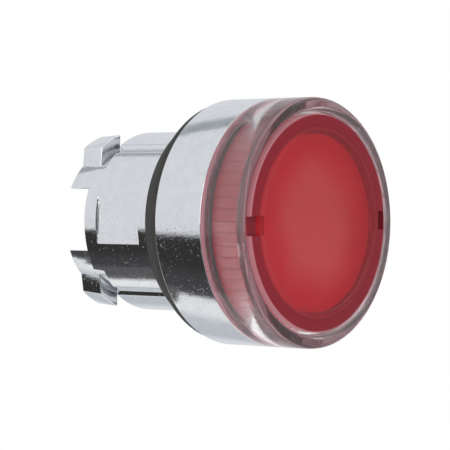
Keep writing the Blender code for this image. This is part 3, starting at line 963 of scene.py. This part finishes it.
def make_studio():
    """Reflections and soft light come from the cards. The camera gets plain white instead, and
    what is seen through clear plastic gets a share of it."""
    scene = bpy.context.scene
    scene.view_settings.view_transform = "Standard"
    world = bpy.data.worlds.new("studio")
    scene.world = world
    world.use_nodes = True
    world.node_tree.nodes.clear()
    graph = Graph(world.node_tree)
    direction = graph.add("ShaderNodeTexCoord").outputs["Generated"]
    across, along, upward = graph.add("ShaderNodeSeparateXYZ", None, {0: direction}).outputs
    angle = graph.maths("ARCTAN2", upward, graph.maths("MULTIPLY", across, -1.0))
    turn = graph.span(angle, -math.pi, math.pi, 0.0, 1.0)
    behind = graph.span(along, -CARD_OVERLAP, CARD_OVERLAP, 0.0, 1.0)
    colour = graph.blend(behind, card_ramp(graph, turn, FRONT_CARDS), card_ramp(graph, turn, REAR_CARDS))
    cards = graph.add("ShaderNodeBackground", None, {"Color": colour, "Strength": CARD_STRENGTH})
    plain = graph.add("ShaderNodeBackground", None, {"Color": (1, 1, 1, 1), "Strength": 1.0})
    ray = graph.add("ShaderNodeLightPath").outputs
    through = graph.maths("MULTIPLY", ray["Is Transmission Ray"], PLAIN_THROUGH_GLASS)
    veil = graph.maths("ADD", through, ray["Is Camera Ray"])
    surface = graph.add("ShaderNodeMixShader", None, {0: veil, 1: cards.outputs[0], 2: plain.outputs[0]})
    graph.add("ShaderNodeOutputWorld", None, {"Surface": surface.outputs[0]})


def make_tube_card():
    """A small graded card low behind the tube, which reflects it. Only reflections show it."""
    bm = bmesh.new()
    bm.faces.new([bm.verts.new(Vector((x, y, TUBE_CARD_HEIGHT)) * MM) for x, y in TUBE_CARD])
    card = finish_mesh(bm, "tube_card")
    shade = Shade("graded_card")
    along = shade.add("ShaderNodeSeparateXYZ", None, {"Vector": shade.place()}).outputs[0]
    glow = shade.ease(along, -14.5, -10.5, 0.07, 0.85)
    shade.set(Base_Color=(0, 0, 0, 1), Emission_Color=(1, 1, 1, 1), Emission_Strength=glow)
    card.data.materials.append(shade.material)
    card.visible_camera = False
    card.visible_diffuse = False
    card.visible_transmission = False
    card.visible_shadow = False


def area_light(name, place, target, power, glossy):
    """A square soft light. Reflections show it only if it is glossy."""
    light = bpy.data.lights.new(name, "AREA")
    light.size = LIGHT_SIZE
    light.energy = power
    lamp = bpy.data.objects.new(name, light)
    lamp.location = place
    lamp.rotation_euler = (Vector(target) - Vector(place)).to_track_quat("-Z", "Y").to_euler()
    lamp.visible_glossy = glossy
    bpy.context.scene.collection.objects.link(lamp)


def make_lights():
    for light in LIGHTS:
        area_light(*light)


def make_floor():
    """A plain pale floor. It lights the button from below, and the camera does not see it."""
    bm = bmesh.new()
    bmesh.ops.create_grid(bm, x_segments=2, y_segments=2, size=FLOOR_HALF_SIZE)
    floor = finish_mesh(bm, "floor")
    floor.location.z = FLOOR_HEIGHT
    shade = Shade("pale_floor")
    speck = shade.noise(40.0, 3.0, 0.5)
    shade.set(Base_Color=shade.blend(speck, (0.90, 0.90, 0.90, 1), (0.93, 0.93, 0.93, 1)), Roughness=0.9)
    shade.set(Emission_Color=(1, 1, 1, 1), Emission_Strength=0.55)
    floor.data.materials.append(shade.material)
    floor.visible_camera = False
    floor.visible_glossy = False


def make_camera():
    """Level with the push axis, 50 degrees round to the left of the lens."""
    azimuth, elevation, roll = (math.radians(degrees) for degrees in CAMERA_DEG)
    level = Vector((math.sin(azimuth), -math.cos(azimuth), 0.0)) * math.cos(elevation)
    back = level + Vector((0.0, 0.0, math.sin(elevation)))
    right = Vector((math.cos(azimuth), math.sin(azimuth), 0.0))
    up = back.cross(right)
    right_rolled = right * math.cos(roll) + up * math.sin(roll)
    up_rolled = up * math.cos(roll) - right * math.sin(roll)
    camera = bpy.data.cameras.new("camera")
    camera.lens = CAMERA_LENS
    camera.sensor_width = 36.0
    camera.shift_x, camera.shift_y = CAMERA_SHIFT
    camera.clip_start = 0.01
    camera.clip_end = 20.0
    obj = bpy.data.objects.new("camera", camera)
    aim = Vector((0.0, BEZEL_BACK * MM, 0.0))
    basis = Matrix((right_rolled, up_rolled, back)).transposed().to_4x4()
    obj.matrix_world = Matrix.Translation(aim + back * CAMERA_DISTANCE) @ basis
    bpy.context.scene.collection.objects.link(obj)
    bpy.context.scene.camera = obj


def make_button():
    chrome, steel, rubber = chrome_material(), steel_material(), rubber_material()
    clear, red = clear_material(), lens_material()
    white = plastic_material("white_plastic", (0.70, 0.70, 0.68), (0.80, 0.80, 0.78), 0.40)
    grey = plastic_material("grey_plastic", (0.22, 0.23, 0.24), (0.30, 0.31, 0.32), 0.42)
    opal = plastic_material("opal_film", (0.82, 0.80, 0.76), (0.90, 0.88, 0.84), 0.35)
    make_housing(chrome)
    make_guard_ring(guard_material())
    make_gasket(rubber)
    make_lens(red)
    make_rings(rubber, steel)
    make_plunger(white, grey, opal, clear, rubber)
    make_bush(grey)
    make_spring(steel)


make_button()
make_studio()
make_tube_card()
make_lights()
make_floor()
make_camera()
